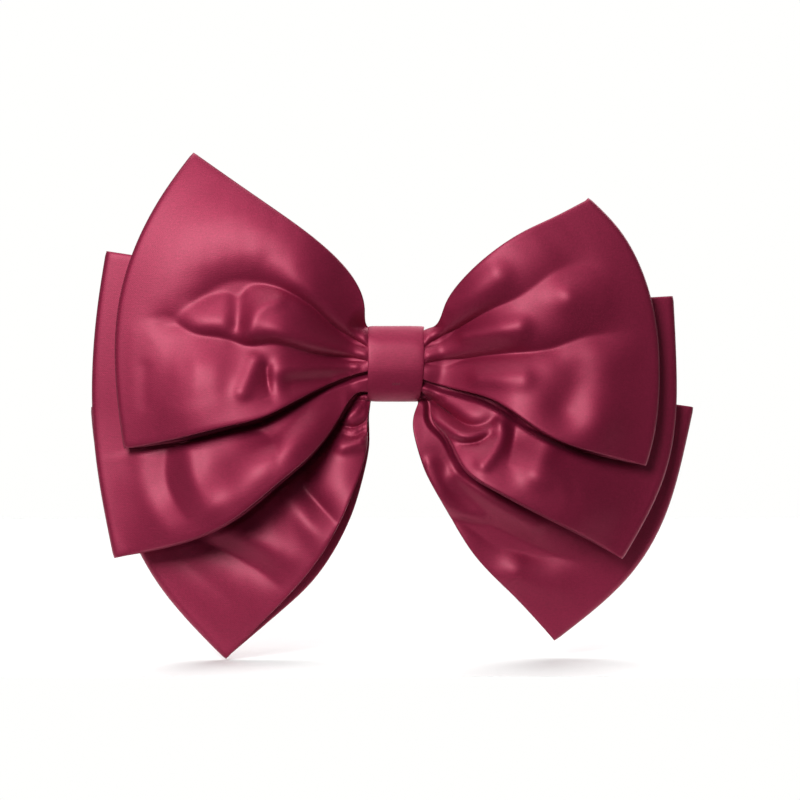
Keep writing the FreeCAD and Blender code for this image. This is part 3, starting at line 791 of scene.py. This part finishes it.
def satin_material(name, light, deep):
    """Burgundy satin: fine slanted weave, faint slubs along the warp, and a soft pink sheen."""
    material, nodes, links, shader = new_material(name)
    coords = nodes.new("ShaderNodeTexCoord").outputs["Object"]
    cloudy = noise(nodes, links, coords, 1500, 2)
    fibres = noise(nodes, links, coords, 420, 3, (1, 1, 7))
    grain = noise(nodes, links, coords, 2600, 2)
    blended = nodes.new("ShaderNodeMix")
    blended.inputs["Factor"].default_value = 0.45
    links.new(cloudy, blended.inputs["A"])
    links.new(fibres, blended.inputs["B"])
    colour = ramp(nodes, links, blended.outputs["Result"], [(0.3, deep), (0.7, light)])
    links.new(colour, shader.inputs["Base Color"])
    links.new(span(nodes, links, grain, 0.50, 0.62), shader.inputs["Roughness"])
    weave = nodes.new("ShaderNodeTexWave")
    weave.wave_type = "BANDS"
    weave.bands_direction = "DIAGONAL"
    weave.inputs["Scale"].default_value = 900
    weave.inputs["Distortion"].default_value = 1.5
    weave.inputs["Detail"].default_value = 2
    links.new(coords, weave.inputs["Vector"])
    normal = bump(nodes, links, weave.outputs["Fac"], 0.25, 0.00004)
    normal = bump(nodes, links, grain, 0.6, 0.00008, normal)
    normal = bump(nodes, links, fibres, 0.2, 0.0002, normal)
    links.new(normal, shader.inputs["Normal"])
    shader.inputs["Metallic"].default_value = 0.62
    shader.inputs["Specular IOR Level"].default_value = 0.4
    shader.inputs["Coat Weight"].default_value = 0.32
    shader.inputs["Coat Roughness"].default_value = 0.42
    shader.inputs["Sheen Weight"].default_value = 0.05
    shader.inputs["Sheen Roughness"].default_value = 0.45
    shader.inputs["Sheen Tint"].default_value = (1.0, 0.55, 0.68, 1)
    return material


def thread_material():
    """Twisted polyester sewing thread in the bow's colour, with painted shade along the grooves of
    its twist.
    """
    material, nodes, links, shader = new_material("thread")
    coords = nodes.new("ShaderNodeTexCoord").outputs["Object"]
    twist = nodes.new("ShaderNodeTexWave")
    twist.wave_type = "BANDS"
    twist.bands_direction = "DIAGONAL"
    twist.inputs["Scale"].default_value = 1400
    twist.inputs["Distortion"].default_value = 0.6
    links.new(coords, twist.inputs["Vector"])
    fuzz = noise(nodes, links, coords, 3000, 3)
    # The ramp darkens the thread where the twist bump sinks: painted shade in the grooves between its
    # plies.
    colour = ramp(nodes, links, twist.outputs["Fac"],
                  [(0.1, (0.09, 0.006, 0.016)), (0.8, (0.24, 0.022, 0.055))])
    links.new(colour, shader.inputs["Base Color"])
    links.new(span(nodes, links, fuzz, 0.45, 0.65), shader.inputs["Roughness"])
    normal = bump(nodes, links, twist.outputs["Fac"], 0.8, 0.0001)
    links.new(bump(nodes, links, fuzz, 0.3, 0.00005, normal), shader.inputs["Normal"])
    return material


def plated_material(name, bright, dull, grain_way, wear):
    """Nickel plate: fine rolling lines, a cloudy handled film, and small scratches."""
    material, nodes, links, shader = new_material(name)
    coords = nodes.new("ShaderNodeTexCoord").outputs["Object"]
    rolled = noise(nodes, links, coords, 900, 3, grain_way)
    film = noise(nodes, links, coords, 130, 4)
    scratch = nodes.new("ShaderNodeTexVoronoi")
    scratch.feature = "DISTANCE_TO_EDGE"
    scratch.inputs["Scale"].default_value = 260
    links.new(coords, scratch.inputs["Vector"])
    colour = ramp(nodes, links, film, [(0.32, dull), (0.62, bright)])
    links.new(colour, shader.inputs["Base Color"])
    links.new(span(nodes, links, film, wear[0], wear[1]), shader.inputs["Roughness"])
    shader.inputs["Metallic"].default_value = 1.0
    shader.inputs["Anisotropic"].default_value = 0.35
    scored = nodes.new("ShaderNodeMapRange")
    scored.inputs["From Max"].default_value = 0.02
    links.new(scratch.outputs["Distance"], scored.inputs["Value"])
    normal = bump(nodes, links, rolled, 0.12, 0.00008)
    normal = bump(nodes, links, scored.outputs["Result"], 0.06, 0.00003, normal)
    links.new(normal, shader.inputs["Normal"])
    return material


def floor_material():
    material, nodes, links, shader = new_material("floor")
    coords = nodes.new("ShaderNodeTexCoord").outputs["Object"]
    tone = noise(nodes, links, coords, 4, 2)
    colour = ramp(nodes, links, tone, [(0.2, (0.93, 0.93, 0.925)), (0.8, (0.95, 0.95, 0.945))])
    links.new(colour, shader.inputs["Base Color"])
    shader.inputs["Roughness"].default_value = 0.9
    return material


# ---- pieces ----------------------------------------------------------------------------------
def stand_for(obj, node, material):
    """Puts a satin piece on the bow's body, in place of its CAD node."""
    obj.data.materials.clear()
    obj.data.materials.append(material)
    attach(obj, "bow")
    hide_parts(node)
    return obj


def make_band(band, material):
    """A satin band: both of its loops and its gathered waist, in one closed sheet."""
    obj = grid_object(f"{band}_band_satin", band_columns(band))
    thicken(obj, ACROSS)
    return stand_for(obj, f"{band}_band", material)


def wrap_point(angle):
    """(y, z) of the wrap's outside as plain numbers, at an angle round it."""
    return np.array([float(part) for part in wrap_outer(np.array(angle))])


def wrap_ring(angle):
    """The strip's own section, at an angle round the wrap."""
    half_t = WRAP_T / 2
    y, z = wrap_point(angle)
    before = wrap_point(angle - 0.01)
    after = wrap_point(angle + 0.01)
    tangent = (after - before) / np.linalg.norm(after - before)
    outward = np.array([-tangent[1], tangent[0]])
    if outward @ np.array([y - WRAP_MID_Y, z]) < 0:
        outward = -outward
    down = max(0.0, -z / WRAP_TALL) if y < WRAP_MID_Y else 0.0
    right = WRAP_RIGHT - WRAP_RIGHT_TAPER * down ** 2 + WRAP_WAVER * math.sin(5 * angle)
    left = WRAP_LEFT + WRAP_LEFT_WAVER * math.sin(4 * angle + 1)
    ring = []
    for number in range(WRAP_SECTION):
        turn = 2 * math.pi * number / WRAP_SECTION
        c, s = math.cos(turn), math.sin(turn)
        share = (abs(c) ** WRAP_CORNER) * (1 if c > 0 else -1)
        x = mix(left + half_t, right - half_t, (share + 1) / 2) + c * half_t
        bulge = WRAP_WAVES * math.sin(angle * 9 + x * 0.5) * (1 - share * share)
        out = s * half_t - half_t + bulge
        ring.append((x, y + outward[0] * out, z + outward[1] * out))
    return np.array(ring + ring[:1])


def make_wrap(material):
    """The centre wrap: a folded strip once round the knot and the barrette's base."""
    rings = [wrap_ring(2 * math.pi * step / WRAP_AROUND) for step in range(WRAP_AROUND)]
    obj = grid_object("centre_wrap_satin", rings)
    shape = bmesh.new()
    shape.from_mesh(obj.data)
    bmesh.ops.remove_doubles(shape, verts=shape.verts, dist=0.00001)
    bmesh.ops.recalc_face_normals(shape, faces=shape.faces)
    shape.to_mesh(obj.data)
    shape.free()
    smooth(obj.data)
    return stand_for(obj, "centre_wrap", material)


def paint(node, material):
    """Gives a CAD node its material."""
    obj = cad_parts[node]
    obj.data.materials.clear()
    obj.data.materials.append(material)


def make_camera():
    data = bpy.data.cameras.new("camera")
    data.lens = 85
    data.sensor_width = 36
    camera = bpy.data.objects.new("camera", data)
    camera.location = (0.0014, -0.705, -0.0133)
    camera.rotation_euler = (math.pi / 2, 0, 0)
    data.clip_start = 0.05
    bpy.context.scene.collection.objects.link(camera)
    bpy.context.scene.camera = camera


def add_light(name, data, place, aim):
    light = bpy.data.objects.new(name, data)
    light.location = place
    light.rotation_euler = (Vector(aim) - Vector(place)).to_track_quat("-Z", "Y").to_euler()
    bpy.context.scene.collection.objects.link(light)


def make_softbox(name, place, aim, width, watts):
    data = bpy.data.lights.new(name, "AREA")
    data.size = width
    data.energy = watts
    add_light(name, data, place, aim)


def make_broad_light(name, place, width, strength):
    """An even light from far off: `width` is how much of the sky it fills, in degrees."""
    data = bpy.data.lights.new(name, "SUN")
    data.angle = math.radians(width)
    data.energy = strength
    add_light(name, data, place, (0, 0, 0))


def make_stage():
    low, _ = CAD_BOUNDS
    mesh = bpy.data.meshes.new("floor")
    side, front, rear = 0.6, low[1] - 0.02, 0.8
    mesh.from_pydata([(-side, front, 0), (side, front, 0), (side, rear, 0), (-side, rear, 0)], [],
                     [(0, 1, 2, 3)])
    floor = bpy.data.objects.new("floor", mesh)
    floor.location = (0, 0, low[2] - 0.0005)
    mesh.materials.append(floor_material())
    bpy.context.scene.collection.objects.link(floor)


def make_world():
    world = bpy.data.worlds.new("studio")
    bpy.context.scene.world = world
    world.use_nodes = True
    nodes, links = world.node_tree.nodes, world.node_tree.links
    nodes.clear()
    out = nodes.new("ShaderNodeOutputWorld")
    soft = nodes.new("ShaderNodeBackground")
    soft.inputs["Color"].default_value = (1, 1, 1, 1)
    soft.inputs["Strength"].default_value = 0.12
    seen = nodes.new("ShaderNodeBackground")
    seen.inputs["Color"].default_value = (1, 1, 0.99, 1)
    seen.inputs["Strength"].default_value = 1.0
    path = nodes.new("ShaderNodeLightPath")
    both = nodes.new("ShaderNodeMixShader")
    links.new(path.outputs["Is Camera Ray"], both.inputs["Fac"])
    links.new(soft.outputs["Background"], both.inputs[1])
    links.new(seen.outputs["Background"], both.inputs[2])
    links.new(both.outputs["Shader"], out.inputs["Surface"])


# ---- the scene -------------------------------------------------------------------------------
make_camera()
make_stage()
make_world()
make_softbox("key", (-0.17, -0.46, 0.20), (-0.02, -0.02, -0.01), 0.22, 2.5)
make_broad_light("top", (-0.10, 0.15, 0.95), 60, 2.3)
make_broad_light("rear", (0.4, 0.9, 0.5), 50, 1.6)
bpy.context.scene.view_settings.view_transform = "Standard"

satin = satin_material("burgundy_satin", (0.31, 0.010, 0.056), (0.235, 0.007, 0.042))
bands = {band: make_band(band, satin) for band in BANDS}
wrap = make_wrap(satin)

thread = thread_material()
for node in ("binding_thread", "wrap_stitches"):
    paint(node, thread)
plate = plated_material("nickel_plate", (0.74, 0.72, 0.69), (0.55, 0.53, 0.50), (1, 1, 14),
                        (0.22, 0.38))
spring = plated_material("spring_steel", (0.66, 0.66, 0.67), (0.46, 0.46, 0.48), (1, 14, 14),
                         (0.26, 0.42))
for node in ("barrette_base", "hinge_pin", "clasp_arm", "catch_rivet"):
    paint(node, plate)
for node in ("tension_strip", "catch_bracket", "release_prong_upper", "release_prong_lower"):
    paint(node, spring)
